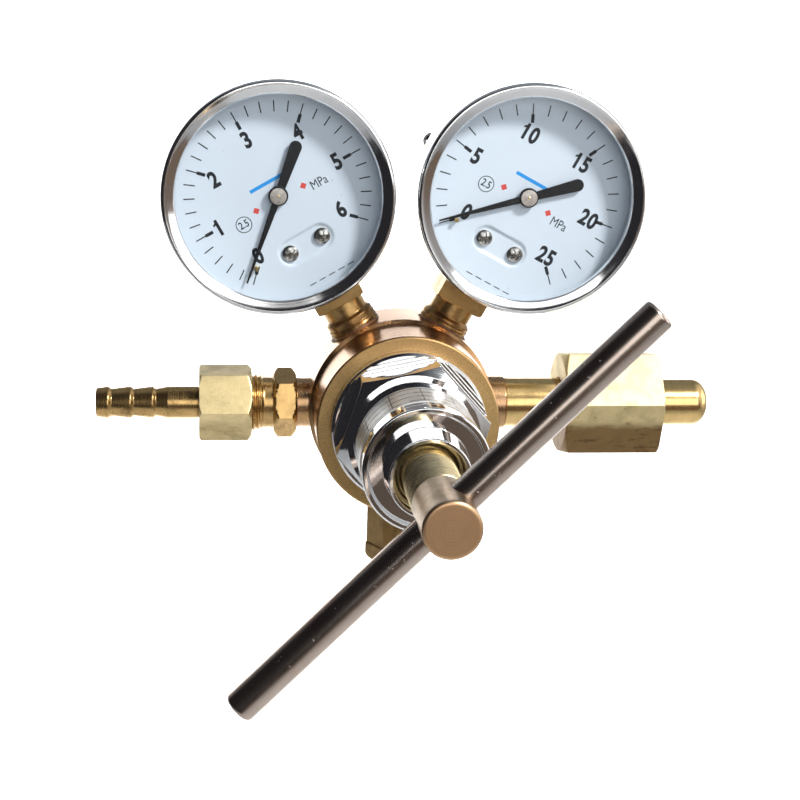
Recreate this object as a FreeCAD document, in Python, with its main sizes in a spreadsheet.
import FreeCAD, Part
import math
import os
import re
import Sketcher

# A two-gauge, single-stage gas regulator. The row's origin is on the inlet axis, at the
# shoulder of the inlet nose. The body's own centre lies inlet_reach away along -X, the
# pressure adjusting screw points along -Y, and both gauges stand above the body along +Z.
# Lengths are in millimetres and angles in degrees.

BODY_SIZES = {
    "inlet_reach": 75.6,
    "body_radius": 25.9,
    "body_front_radius": 24.9,
    "body_rear": 8,
    "body_step": 8.7,
    "body_front": 26.1,
    "body_edge": 0.8,
    "bonnet_thread_radius": 21,
    "diaphragm_seat": 14,
    "chamber_radius": 17,
    "chamber_floor": 8,
    "nozzle_thread_radius": 5,
    "nozzle_rear": 1,
    "valve_room_radius": 6.5,
    "valve_room_rear": 5,
    "plug_thread_radius": 9,
    "plug_boss_radius": 14,
    "plug_boss_length": 5,
    "inlet_boss_radius": 7.5,
    "inlet_boss_end": 30,
    "stem_thread_radius": 5.5,
    "stem_thread_depth": 10,
    "outlet_boss_radius": 7,
    "outlet_boss_end": 29.1,
    "adapter_thread_radius": 5,
    "adapter_thread_depth": 9,
    "gauge_thread_radius": 7,
    "gauge_thread_depth": 9,
    "relief_thread_radius": 4.5,
    "relief_thread_depth": 8,
    "relief_boss_radius": 8,
    "relief_boss_end": 27.2,
    "passage_radius": 2,
    "drilling_radius": 1.6,
    "low_passage_offset": 12.5,
}

BONNET_SIZES = {
    "slip_ring_thickness": 1,
    "diaphragm_thickness": 1,
    "diaphragm_rim": 20.7,
    "diaphragm_roll_radius": 14.6,
    "diaphragm_roll_depth": 1.6,
    "diaphragm_roll_foot": 1.9,
    "diaphragm_roll_crest": 0.8,
    "bonnet_skirt_front": 28.3,
    "bonnet_skirt_groove": 0.8,
    "bonnet_hex_rear": 31.4,
    "bonnet_run_out": 1.1,
    "bonnet_run_out_rise": 1.5,
    "bonnet_hex_front": 40,
    "bonnet_flats": 36,
    "bonnet_turn": 12,
    "bonnet_chamfer": 3.2,
    "bonnet_chamfer_rise": 1.44,
    "bonnet_neck_radius": 16,
    "bonnet_neck_front": 62,
    "bonnet_groove": 0.5,
    "bonnet_lip_radius": 16.3,
    "bonnet_lip_front": 66.8,
    "bonnet_lip_inner": 14.9,
    "bonnet_dish": 65.2,
    "bonnet_boss_radius": 10.9,
    "bonnet_boss_rim": 10.3,
    "bonnet_boss_front": 73.6,
    "bonnet_recess_radius": 9.3,
    "bonnet_recess_depth": 4.6,
    "bonnet_mouth_radius": 17.3,
    "bonnet_mouth_front": 21,
    "spring_room_radius": 13.5,
    "spring_room_front": 61.5,
    "vent_radius": 1.5,
    "vent_height": 43.2,
    "label_rear": 46,
    "label_front": 60,
    "label_thickness": 0.15,
    "label_gap": 5,
}

SCREW_SIZES = {
    "screw_radius": 7,
    "screw_clearance": 0.05,
    "screw_tip": 57.05,
    "screw_thread_front": 91.6,
    "screw_relief_radius": 6.5,
    "screw_relief_width": 0.7,
    "screw_front": 111.8,
    "screw_edge": 0.5,
    "ball_radius": 3,
    "ball_centre": 54,
    "button_radius": 12.8,
    "button_rear": 48,
    "button_front": 53.5,
    "button_spigot": 6.4,
    "button_step": 2,
    "tee_height": 100,
    "tee_radius": 4,
    "tee_length": 133.6,
    "tee_edge": 1.1,
    "tee_angle": 45.07,
}

VALVE_SIZES = {
    "plate_radius": 12,
    "plate_thickness": 2.2,
    "plate_spigot_radius": 6.6,
    "plate_spigot_height": 4.5,
    "pad_radius": 8.5,
    "pad_thickness": 1.1,
    "pin_radius": 1.1,
    "nozzle_bore_radius": 1.8,
    "nozzle_flats": 12,
    "nozzle_head": 2.4,
    "nozzle_lip_radius": 3.2,
    "nozzle_lip": 1.4,
    "poppet_radius": 4.6,
    "poppet_thickness": 2.6,
    "poppet_stem_radius": 1.8,
    "poppet_stem_length": 8,
    "plug_flats": 22,
    "plug_head": 7,
    "plug_cup_radius": 4.7,
    "plug_cup_depth": 4.2,
    "plug_guide_clearance": 0.08,
    "plug_guide_depth": 9.5,
    "valve_spring_radius": 3.4,
    "valve_spring_wire": 0.35,
    "valve_spring_pitch": 1.8,
    "main_spring_radius": 9.6,
    "main_spring_wire": 1.6,
    "main_spring_pitch": 5.6,
}

INLET_SIZES = {
    "stem_radius": 7,
    "stem_end": 63.6,
    "stem_bore_radius": 3.2,
    "nipple_tail_radius": 4.8,
    "nipple_tail_length": 9,
    "nipple_shoulder_radius": 9.6,
    "nipple_shoulder": 5.6,
    "nipple_flats": 16,
    "nipple_turn": 12,
    "nipple_chamfer": 1.1,
    "nose_radius": 6.6,
    "nose_length": 13.8,
    "nose_round": 4.1,
    "nose_hole_radius": 1.5,
    "filter_radius": 3.1,
    "filter_length": 11,
    "filter_wall": 1,
    "inlet_nut_rear": 46.2,
    "inlet_nut_front": 73.9,
    "inlet_nut_flats": 28,
    "inlet_nut_turn": 10,
    "inlet_nut_wall": 5,
    "inlet_nut_clearance": 0.3,
    "inlet_nut_bore_radius": 10.3,
    "inlet_nut_rear_chamfer": 2.2,
    "inlet_nut_front_chamfer": 3.4,
}

OUTLET_SIZES = {
    "adapter_hex_end": 35.6,
    "adapter_flats": 17,
    "adapter_turn": -7.5,
    "adapter_neck_radius": 7.2,
    "adapter_neck_end": 38.4,
    "adapter_male_radius": 8,
    "adapter_end": 48.6,
    "adapter_bore_radius": 2.6,
    "adapter_seat_radius": 5.4,
    "adapter_seat_depth": 3.4,
    "outlet_nut_rear": 41.6,
    "outlet_nut_front": 56.3,
    "outlet_nut_flats": 19,
    "outlet_nut_turn": 1.1,
    "outlet_nut_wall": 3.6,
    "outlet_nut_clearance": 0.05,
    "barb_collar_radius": 7.3,
    "barb_collar_rear": 48.9,
    "barb_collar_front": 52.6,
    "barb_shank_radius": 4.5,
    "barb_shank_end": 65,
    "barb_root_radius": 4.3,
    "barb_root_end": 56.6,
    "barb_clearance": 0.3,
    "barb_first_crest": 69,
    "barb_pitch": 6.15,
    "barb_valley_radius": 3.85,
    "barb_valley_width": 0.8,
    "barb_tip_radius": 4.1,
    "barb_end": 84.8,
    "barb_bore_radius": 2.5,
    "barb_cone_length": 2.7,
    "barb_cone_radius": 5.5,
    "barb_cone_tip": 3.3,
}

RELIEF_SIZES = {
    "relief_flats": 14,
    "relief_hex_end": 41.9,
    "relief_spring_room": 4.2,
    "relief_room_start": 30,
    "relief_seat_radius": 1.5,
    "relief_cap_end": 46.4,
    "relief_cap_flats": 14.6,
    "relief_neck_radius": 5.6,
    "relief_neck_length": 2.4,
    "relief_cap_round": 1.6,
    "relief_vent_radius": 1.2,
    "relief_disc_radius": 3.8,
    "relief_disc_thickness": 2,
    "relief_rod_radius": 1.2,
    "relief_rod_length": 8,
    "relief_wire_radius": 0.35,
    "relief_coil_radius": 2.4,
    "relief_coil_pitch": 1.8,
}

# Small sizes that many sub-parts share: bevels, and the gaps between seated faces.
SHARED_SIZES = {
    "seat_gap": 0.05,
    "spring_gap": 0.1,
    "edge_break": 0.3,
    "small_bevel": 0.6,
    "mouth_bevel": 0.8,
    "thread_bevel": 1,
    "nut_bevel": 1.5,
    "fitting_bevel": 1.6,
    "fitting_bevel_rise": 1.3,
    "nut_bevel_slope": 0.6,
    "cutter_overrun": 1,
    "rim_fit": 0.02,
}

GAUGE_SIZES = {
    "low_gauge_distance": 69.96,
    "low_gauge_lean": -30.3,
    "low_dial_turn": -26.1,
    "high_gauge_distance": 68.8,
    "high_gauge_lean": 27.9,
    "high_dial_turn": 30,
    "case_radius": 30,
    "case_wall": 0.8,
    "case_back": -7,
    "case_front": 15.6,
    "case_round": 2.5,
    "bezel_radius": 31,
    "bezel_rear": 9.5,
    "bezel_front": 20.4,
    "bezel_crown": 0.9,
    "bezel_lip_radius": 27.9,
    "bezel_land_radius": 29.7,
    "lens_radius": 29.2,
    "lens_rear": 15.65,
    "lens_thickness": 2,
    "dial_radius": 28.9,
    "dial_rear": 12.6,
    "dial_thickness": 0.4,
    "dial_hole_radius": 1.6,
    "dial_screw_radius": 2.3,
    "dial_screw_height": 0.9,
    "dial_screw_drop": 15.3,
    "dial_screw_spread": 9.7,
    "socket_width": 14,
    "socket_block_top": 30,
    "socket_block_bottom": 36,
    "socket_neck_radius": 6,
    "socket_neck_bottom": 40.5,
    "socket_bar_width": 10,
    "socket_bar_top": 18.4,
    "socket_bore_radius": 1.4,
    "tube_arc_radius": 20.4,
    "tube_half_height": 3.6,
    "tube_half_width": 1.2,
    "tube_wall": 0.35,
    "tube_start": -80,
    "tube_sweep": 275,
    "tube_pin_turn": 3,
    "plate_rear": 5,
    "plate_gap": 3.6,
    "frame_thickness": 0.8,
    "frame_width": 13,
    "frame_top": 6.4,
    "frame_bottom": 24,
    "pillar_radius": 1.1,
    "gear_module": 0.4,
    "pinion_teeth": 10,
    "sector_teeth": 60,
    "sector_rear": 7.1,
    "sector_thickness": 0.8,
    "pinion_overlap": 0.4,
    "arbor_radius": 0.7,
    "arbor_clearance": 0.05,
    "sector_tail_angle": 112.5,
    "sector_tail_length": 5,
    "link_rear": 6.1,
    "link_thickness": 0.7,
    "link_half_width": 1.1,
    "link_pin_radius": 0.45,
    "pointer_rear": 14.1,
    "pointer_thickness": 0.4,
    "pointer_length": 25,
    "pointer_tail": 15.4,
    "pointer_tail_width": 3.3,
    "pointer_root_width": 2,
    "pointer_tip_width": 0.4,
    "pointer_hub_radius": 2.65,
    "pointer_hub_rear": 13.6,
    "pointer_hub_front": 15.2,
    "dial_zero": 225,
    "stop_pin_radius": 0.6,
    "stop_pin_place": 20.4,
    "stop_pin_lag": 2.9,
    "case_screw_radius": 2,
    "case_screw_head": 1.1,
    "case_screw_height": 3,
}

GROUPS = [BODY_SIZES, BONNET_SIZES, SCREW_SIZES, VALVE_SIZES, INLET_SIZES, OUTLET_SIZES,
          RELIEF_SIZES, SHARED_SIZES, GAUGE_SIZES]

BARBS = 3
RUN_OUT_STEPS = 3

# Gear teeth, in modules and degrees. The sector's teeth are short, to clear the small pinion.
PRESSURE_ANGLE = 20
BACKLASH = 0.06
FLANK_POINTS = 4
SECTOR_ADDENDUM = 0.7
SECTOR_DEDENDUM = 1.3
PINION_ADDENDUM = 1.0
PINION_DEDENDUM = 1.1
SECTOR_TEETH_BEFORE = 9
SECTOR_TEETH_CUT = 11

# Directions that a piece's own +Z axis is turned to.
FORWARD = FreeCAD.Rotation(FreeCAD.Vector(1, 0, 0), 90)
RIGHT = FreeCAD.Rotation(FreeCAD.Vector(0, 1, 0), 90)
LEFT = FreeCAD.Rotation(FreeCAD.Vector(0, 1, 0), -90)
DOWN = FreeCAD.Rotation(FreeCAD.Vector(1, 0, 0), 180)
UP = FreeCAD.Rotation()

document = FreeCAD.newDocument("gas_regulator")
sheet = document.addObject("Spreadsheet::Sheet", "Sizes")
pieces = []


# ---------------------------------------------------------------- the sheet and its names

def fill_sheet():
    """Write every driving dimension into a row of the sheet, with its name beside it."""
    row = 1
    for group in GROUPS:
        for alias, size in group.items():
            sheet.set(f"A{row}", alias)
            sheet.set(f"B{row}", str(size))
            sheet.setAlias(f"B{row}", alias)
            row += 1
    document.recompute()


def bound(formula):
    """The formula with every name of the sheet written as a reference to its cell."""
    names = {alias for group in GROUPS for alias in group}
    return re.sub(r"[a-z][a-z0-9_]*",
                  lambda word: "Sizes." + word.group() if word.group() in names else word.group(),
                  formula)


def value(formula):
    """The number that a formula of sheet names has now."""
    return float(sheet.evalExpression(bound(formula)))


def bind(item, **formulas):
    """Tie properties of an object to formulas."""
    for name, formula in formulas.items():
        item.setExpression(name, bound(formula))


def stand(item, rotation, x="0", y="0", z="0"):
    """Turn an object, and tie its place to formulas measured from the body's centre."""
    item.Placement = FreeCAD.Placement(FreeCAD.Vector(), rotation)
    item.setExpression("Placement.Base.x", bound(f"{x} - inlet_reach"))
    item.setExpression("Placement.Base.y", bound(y))
    item.setExpression("Placement.Base.z", bound(z))
    return item


def deliver(item, label):
    """List an object as a finished sub-part under its own label."""
    item.Label = label
    pieces.append(item)
    return item


# ------------------------------------------------------------------- sketches and turning

def origin_plane(body, role):
    """One of a body's own origin planes, found by its role."""
    return next(plane for plane in body.Origin.OriginFeatures if plane.Role == role)


def fix_coordinate(sketch, line, kind, formula, place, axis):
    """Hold one coordinate of a line's first end: on an axis, or at a formula."""
    if formula == "0":
        sketch.addConstraint(Sketcher.Constraint("PointOnObject", line, 1, axis))
        return
    index = sketch.addConstraint(Sketcher.Constraint(kind, line, 1, place))
    name = f"{kind}_{line}"
    sketch.renameConstraint(index, name)
    sketch.setExpression(f"Constraints.{name}", bound(formula))


def draw_outline(sketch, corners):
    """Closed outline of straight lines whose corners are tied to formulas."""
    first = len(sketch.Geometry)
    places = [FreeCAD.Vector(value(x), value(y), 0) for x, y in corners]
    for start, end in zip(places, places[1:] + places[:1]):
        sketch.addGeometry(Part.LineSegment(start, end), False)
    for step, (x, y) in enumerate(corners):
        line = first + step
        following = first + (step + 1) % len(corners)
        sketch.addConstraint(Sketcher.Constraint("Coincident", line, 2, following, 1))
        fix_coordinate(sketch, line, "DistanceX", x, places[step].x, -2)
        fix_coordinate(sketch, line, "DistanceY", y, places[step].y, -1)


def draw_circle(sketch, radius, x="0", y="0"):
    """Circle tied to a radius, with its centre at two formulas."""
    centre = FreeCAD.Vector(value(x), value(y), 0)
    ring = sketch.addGeometry(Part.Circle(centre, FreeCAD.Vector(0, 0, 1), value(radius)), False)
    index = sketch.addConstraint(Sketcher.Constraint("Radius", ring, value(radius)))
    sketch.renameConstraint(index, f"radius_{ring}")
    sketch.setExpression(f"Constraints.radius_{ring}", bound(radius))
    for kind, formula, place, axis in (("DistanceX", x, centre.x, -2), ("DistanceY", y, centre.y, -1)):
        if formula == "0":
            sketch.addConstraint(Sketcher.Constraint("PointOnObject", ring, 3, axis))
            continue
        index = sketch.addConstraint(Sketcher.Constraint(kind, ring, 3, place))
        sketch.renameConstraint(index, f"{kind}_{ring}")
        sketch.setExpression(f"Constraints.{kind}_{ring}", bound(formula))


def new_sketch(body, name, role, height="0"):
    """Sketch on one of the body's origin planes, raised along the plane's normal."""
    sketch = body.newObject("Sketcher::SketchObject", name)
    sketch.AttachmentSupport = (origin_plane(body, role), [""])
    sketch.MapMode = "FlatFace"
    sketch.setExpression("AttachmentOffset.Base.z", bound(height))
    return sketch


def turned(name, outline, angle="360"):
    """Body revolved about its own Z axis from an outline of (radius, height) corners."""
    body = document.addObject("PartDesign::Body", name)
    sketch = new_sketch(body, f"{name}_outline", "XZ_Plane")
    draw_outline(sketch, outline)
    turning = body.newObject("PartDesign::Revolution", f"{name}_turning")
    turning.Profile = sketch
    turning.ReferenceAxis = (sketch, ["V_Axis"])
    turning.setExpression("Angle", bound(angle))
    body.Tip = turning
    document.recompute()
    return body


def checked_cut(body, cut):
    """Make a cutting feature the body's tip, and insist that it removes material."""
    before = body.Shape.Volume
    body.Tip = cut
    document.recompute()
    if body.Shape.Volume >= before:
        raise ValueError(f"{cut.Name} removes nothing")


def hexagon(flats, turn):
    """Corners of a hexagon from its width across flats and its first corner's angle."""
    corner = f"{flats} / sqrt(3)"
    return [(f"{corner} * cos({turn} + {60 * step})", f"{corner} * sin({turn} + {60 * step})")
            for step in range(6)]


def mill_hexagon(body, flats, low, high, turn="0"):
    """Mill six flats on a turned blank between two heights."""
    sketch = new_sketch(body, f"{body.Name}_flats", "XY_Plane", high)
    draw_circle(sketch, f"{flats} * 0.75")
    draw_outline(sketch, hexagon(flats, turn))
    cut = body.newObject("PartDesign::Pocket", f"{body.Name}_milling")
    cut.Profile = sketch
    cut.setExpression("Length", bound(f"{high} - ({low})"))
    checked_cut(body, cut)


def bore(body, name, radius, low, high, x="0", y="0"):
    """Drill a hole parallel to the body's own Z axis between two heights."""
    sketch = new_sketch(body, name, "XY_Plane", high)
    draw_circle(sketch, radius, x, y)
    cut = body.newObject("PartDesign::Pocket", f"{name}_drilling")
    cut.Profile = sketch
    cut.setExpression("Length", bound(f"{high} - ({low})"))
    checked_cut(body, cut)


def round_rings(body, rings, size, feature="PartDesign::Fillet"):
    """Round or bevel a turned body's circular edges, found by their radius and height."""
    base = body.Tip
    names = []
    for number, edge in enumerate(base.Shape.Edges, start=1):
        if edge.Curve.TypeId != "Part::GeomCircle":
            continue
        for radius, height in rings:
            same_radius = abs(edge.Curve.Radius - value(radius)) < 0.01
            same_height = abs(edge.Curve.Center.z - value(height)) < 0.01
            if same_radius and same_height:
                names.append(f"Edge{number}")
    if not names:
        raise ValueError(f"{body.Name} has no such edges")
    dressing = body.newObject(feature, f"{body.Name}_dressing_{len(body.Group)}")
    dressing.Base = (base, names)
    dressing.setExpression("Radius" if feature.endswith("Fillet") else "Size", bound(size))
    body.Tip = dressing
    document.recompute()


# -------------------------------------------------------------- primitives and booleans

def cylinder(name, radius, height, rotation=UP, x="0", y="0", z="0"):
    """Cylinder primitive standing on a point measured from the body's centre."""
    item = document.addObject("Part::Cylinder", name)
    bind(item, Radius=radius, Height=height)
    return stand(item, rotation, x, y, z)


def cut_away(name, base, tools):
    """Base with every tool taken away."""
    if len(tools) > 1:
        joined = document.addObject("Part::MultiFuse", f"{name}_tools")
        joined.Shapes = tools
    else:
        joined = tools[0]
    item = document.addObject("Part::Cut", name)
    item.Base = base
    item.Tool = joined
    return item


def fused(name, items):
    """Several solids made one."""
    item = document.addObject("Part::MultiFuse", name)
    item.Shapes = items
    return item


def coil_spring(name, coil, wire, pitch, low, high, side, rotation=FORWARD):
    """Open coil spring between two faces, at depths along the axis that side names."""
    height = f"({high}) - ({low}) - 2 * {wire}"
    helix = document.addObject("Part::Helix", f"{name}_path")
    bind(helix, Radius=coil, Pitch=pitch, Height=height)
    section = document.addObject("Part::Circle", f"{name}_wire")
    section.Placement = FreeCAD.Placement(FreeCAD.Vector(), FreeCAD.Rotation(FreeCAD.Vector(1, 0, 0), 90))
    bind(section, Radius=wire)
    section.setExpression("Placement.Base.x", bound(coil))
    sweep = document.addObject("Part::Sweep", name)
    sweep.Sections = [section]
    sweep.Spine = (helix, [])
    sweep.Solid = True
    sweep.Frenet = True
    return stand(sweep, rotation, **{side: f"-({low}) - {wire}"})


# ------------------------------------------------------------------------------ the body

def lean_rotation(lean):
    """Rotation that turns +Z to a gauge's stem direction, leaning to the right of up."""
    return FreeCAD.Rotation(FreeCAD.Vector(0, 1, 0), value(lean))


def radial_drilling(name, radius, low, high, lean):
    """Hole along a gauge's stem axis between two distances from the body's centre."""
    return cylinder(name, radius, f"({high}) - ({low})", lean_rotation(lean),
                    x=f"({low}) * sin({lean})", z=f"({low}) * cos({lean})")


def low_pressure_drilling(name, angle):
    """Hole from the chamber's floor back to a passage, at an angle from +Z towards +X."""
    return cylinder(name, "drilling_radius", "chamber_floor + cutter_overrun", FORWARD,
                    x=f"low_passage_offset * sin({angle})", y="1",
                    z=f"low_passage_offset * cos({angle})")


def make_body():
    """Forged brass body: a stepped drum, bored from both faces, with bosses on its rim."""
    drum = turned("drum", [
        ("valve_room_radius", "-valve_room_rear"),
        ("plug_thread_radius", "-valve_room_rear"),
        ("plug_thread_radius", "-body_rear - plug_boss_length"),
        ("plug_boss_radius", "-body_rear - plug_boss_length"),
        ("plug_boss_radius", "-body_rear"),
        ("body_radius - body_edge", "-body_rear"),
        ("body_radius", "body_edge - body_rear"),
        ("body_radius", "body_step"),
        ("body_front_radius", "body_step + body_edge"),
        ("body_front_radius", "body_front - body_edge / 2"),
        ("body_front_radius - body_edge / 2", "body_front"),
        ("bonnet_thread_radius", "body_front"),
        ("bonnet_thread_radius", "diaphragm_seat"),
        ("chamber_radius", "diaphragm_seat"),
        ("chamber_radius", "chamber_floor"),
        ("nozzle_thread_radius", "chamber_floor"),
        ("nozzle_thread_radius", "nozzle_rear"),
        ("valve_room_radius", "nozzle_rear"),
    ])
    stand(drum, FORWARD)
    bosses = [
        cylinder("inlet_boss", "inlet_boss_radius", "inlet_boss_end - chamber_radius", RIGHT,
                 x="chamber_radius"),
        cylinder("outlet_boss", "outlet_boss_radius", "outlet_boss_end - chamber_radius", LEFT,
                 x="-chamber_radius"),
        cylinder("relief_boss", "relief_boss_radius", "relief_boss_end - chamber_radius", DOWN,
                 z="-chamber_radius"),
    ]
    blank = fused("body_blank", [drum] + bosses)
    drillings = [
        cylinder("inlet_thread", "stem_thread_radius", "stem_thread_depth + cutter_overrun", RIGHT,
                 x="inlet_boss_end - stem_thread_depth"),
        cylinder("inlet_passage", "passage_radius",
                 "inlet_boss_end - valve_room_radius + cutter_overrun", RIGHT,
                 x="valve_room_radius - cutter_overrun"),
        cylinder("outlet_thread", "adapter_thread_radius", "adapter_thread_depth + cutter_overrun", LEFT,
                 x="adapter_thread_depth - outlet_boss_end"),
        cylinder("outlet_passage", "passage_radius", "outlet_boss_end - low_passage_offset", LEFT,
                 x="-low_passage_offset"),
        low_pressure_drilling("outlet_drilling", "-90"),
        cylinder("relief_thread", "relief_thread_radius", "relief_thread_depth + 2 * cutter_overrun", DOWN,
                 z="relief_thread_depth - relief_boss_end"),
        cylinder("relief_passage", "passage_radius", "relief_boss_end - low_passage_offset", DOWN,
                 z="-low_passage_offset"),
        low_pressure_drilling("relief_drilling", "180"),
        radial_drilling("low_gauge_thread", "gauge_thread_radius", "body_radius - gauge_thread_depth",
                        "body_radius + cutter_overrun", "low_gauge_lean"),
        radial_drilling("low_gauge_passage", "passage_radius", "low_passage_offset", "body_radius",
                        "low_gauge_lean"),
        low_pressure_drilling("low_gauge_drilling", "low_gauge_lean"),
        radial_drilling("high_gauge_thread", "gauge_thread_radius", "body_radius - gauge_thread_depth",
                        "body_radius + cutter_overrun", "high_gauge_lean"),
        radial_drilling("high_gauge_passage", "passage_radius",
                        "valve_room_radius - cutter_overrun", "body_radius", "high_gauge_lean"),
    ]
    deliver(cut_away("body_part", blank, drillings), "body")


# --------------------------------------------------------- bonnet, label and diaphragm

def make_bonnet():
    """Plated bonnet: threaded skirt, hexagon, neck with a lip, and the screw's boss."""
    hex_corner = "bonnet_flats / sqrt(3)"
    bonnet = turned("bonnet_part", [
        ("bonnet_mouth_radius", "diaphragm_seat + diaphragm_thickness + slip_ring_thickness"),
        ("bonnet_thread_radius", "diaphragm_seat + diaphragm_thickness + slip_ring_thickness"),
        ("bonnet_thread_radius", "bonnet_skirt_front"),
        ("bonnet_thread_radius - bonnet_skirt_groove", "bonnet_skirt_front + small_bevel"),
        (hex_corner, "bonnet_skirt_front + 2 * small_bevel"),
        (hex_corner, "bonnet_hex_front - bonnet_chamfer_rise"),
        (f"{hex_corner} - bonnet_chamfer", "bonnet_hex_front"),
        ("bonnet_neck_radius", "bonnet_hex_front + edge_break"),
        ("bonnet_neck_radius", "bonnet_neck_front"),
        ("bonnet_neck_radius - bonnet_groove", "bonnet_neck_front + bonnet_groove"),
        ("bonnet_neck_radius - bonnet_groove", "bonnet_neck_front + 2 * bonnet_groove"),
        ("bonnet_lip_radius", "bonnet_neck_front + 3 * bonnet_groove"),
        ("bonnet_lip_radius", "bonnet_lip_front"),
        ("bonnet_lip_inner", "bonnet_lip_front"),
        ("bonnet_lip_inner - bonnet_groove", "bonnet_dish"),
        ("bonnet_boss_radius", "bonnet_dish"),
        ("bonnet_boss_rim", "bonnet_boss_front"),
        ("bonnet_recess_radius", "bonnet_boss_front"),
        ("screw_radius + screw_clearance", "bonnet_boss_front - bonnet_recess_depth"),
        ("screw_radius + screw_clearance", "spring_room_front"),
        ("spring_room_radius", "spring_room_front"),
        ("spring_room_radius", "bonnet_mouth_front + bonnet_mouth_radius - spring_room_radius"),
        ("bonnet_mouth_radius", "bonnet_mouth_front"),
    ])
    mill_hexagon(bonnet, "bonnet_flats", "bonnet_hex_rear", "bonnet_hex_front", "bonnet_turn")
    for step in range(1, RUN_OUT_STEPS):
        face = f"bonnet_hex_rear - {step} * bonnet_run_out"
        mill_hexagon(bonnet, f"(bonnet_flats + {step} * bonnet_run_out_rise)", face,
                     f"{face} + bonnet_run_out", "bonnet_turn")
    round_rings(bonnet, [("bonnet_lip_radius", "bonnet_lip_front")], "bonnet_groove")
    round_rings(bonnet, [("bonnet_boss_rim", "bonnet_boss_front")], "bonnet_groove / 2")
    stand(bonnet, FORWARD)
    vent = cylinder("bonnet_vent", "vent_radius", "bonnet_neck_radius", DOWN, y="-vent_height",
                    z="button_step - spring_room_radius")
    deliver(cut_away("vented_bonnet", bonnet, [vent]), "bonnet")


def make_label_band():
    """Thin rating band rolled round the neck, with its two ends just apart underneath."""
    band = turned("label_part", [
        ("bonnet_neck_radius", "label_rear"),
        ("bonnet_neck_radius + label_thickness", "label_rear"),
        ("bonnet_neck_radius + label_thickness", "label_front"),
        ("bonnet_neck_radius", "label_front"),
    ], "360 - 2 * label_gap")
    turn_to_gap = FreeCAD.Rotation(FreeCAD.Vector(0, 0, 1), value("label_gap - 90"))
    deliver(stand(band, FORWARD.multiply(turn_to_gap)), "label_band")


def make_diaphragm():
    """Rubber disc with one rolled ring, so that its middle can travel, and its slip ring."""
    top = "diaphragm_seat + diaphragm_thickness"
    roll = "diaphragm_roll_depth"
    disc = turned("diaphragm_part", [
        ("0", "diaphragm_seat"),
        ("diaphragm_roll_radius - diaphragm_roll_foot", "diaphragm_seat"),
        ("diaphragm_roll_radius - diaphragm_roll_crest", f"diaphragm_seat + {roll}"),
        ("diaphragm_roll_radius + diaphragm_roll_crest", f"diaphragm_seat + {roll}"),
        ("diaphragm_roll_radius + diaphragm_roll_foot", "diaphragm_seat"),
        ("diaphragm_rim", "diaphragm_seat"),
        ("diaphragm_rim", top),
        ("diaphragm_roll_radius + diaphragm_roll_foot + edge_break", top),
        ("diaphragm_roll_radius + diaphragm_roll_crest + edge_break", f"{top} + {roll}"),
        ("diaphragm_roll_radius - diaphragm_roll_crest - edge_break", f"{top} + {roll}"),
        ("diaphragm_roll_radius - diaphragm_roll_foot - edge_break", top),
        ("0", top),
    ])
    deliver(stand(disc, FORWARD), "diaphragm")
    ring = turned("slip_ring_part", [
        ("chamber_radius + edge_break", top),
        ("diaphragm_rim", top),
        ("diaphragm_rim", f"{top} + slip_ring_thickness"),
        ("chamber_radius + edge_break", f"{top} + slip_ring_thickness"),
    ])
    deliver(stand(ring, FORWARD), "slip_ring")


# ---------------------------------------------------------- adjusting screw and spring

def make_adjusting_screw():
    """Brass adjusting screw: threaded shank, undercut and plain head with a cross hole."""
    screw = turned("screw_part", [
        ("0", "screw_tip"),
        ("screw_radius - thread_bevel", "screw_tip"),
        ("screw_radius", "screw_tip + thread_bevel"),
        ("screw_radius", "screw_thread_front - screw_relief_width / 2"),
        ("screw_relief_radius", "screw_thread_front"),
        ("screw_relief_radius", "screw_thread_front + screw_relief_width / 2"),
        ("screw_radius", "screw_thread_front + screw_relief_width"),
        ("screw_radius", "screw_front - screw_edge"),
        ("screw_radius - screw_edge", "screw_front"),
        ("0", "screw_front"),
    ])
    stand(screw, FORWARD)
    hole = tee_cylinder("tee_hole", "4 * screw_radius")
    deliver(cut_away("drilled_screw", screw, [hole]), "adjusting_screw")


def tee_cylinder(name, length):
    """Cylinder of the tee bar's radius, centred in the screw's head at the bar's angle."""
    along = FreeCAD.Rotation(FreeCAD.Vector(0, 1, 0), 90 - value("tee_angle"))
    return cylinder(name, "tee_radius", length, along, x=f"-{length} / 2 * cos(tee_angle)",
                    y="-tee_height", z=f"-{length} / 2 * sin(tee_angle)")


def make_tee_bar():
    """Steel tee bar with both ends rounded over."""
    bar = turned("tee_part", [
        ("0", "-tee_length / 2"),
        ("tee_radius", "-tee_length / 2"),
        ("tee_radius", "tee_length / 2"),
        ("0", "tee_length / 2"),
    ])
    round_rings(bar, [("tee_radius", "-tee_length / 2"), ("tee_radius", "tee_length / 2")], "tee_edge")
    along = FreeCAD.Rotation(FreeCAD.Vector(0, 1, 0), 90 - value("tee_angle"))
    deliver(stand(bar, along, y="-tee_height"), "tee_bar")


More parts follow.
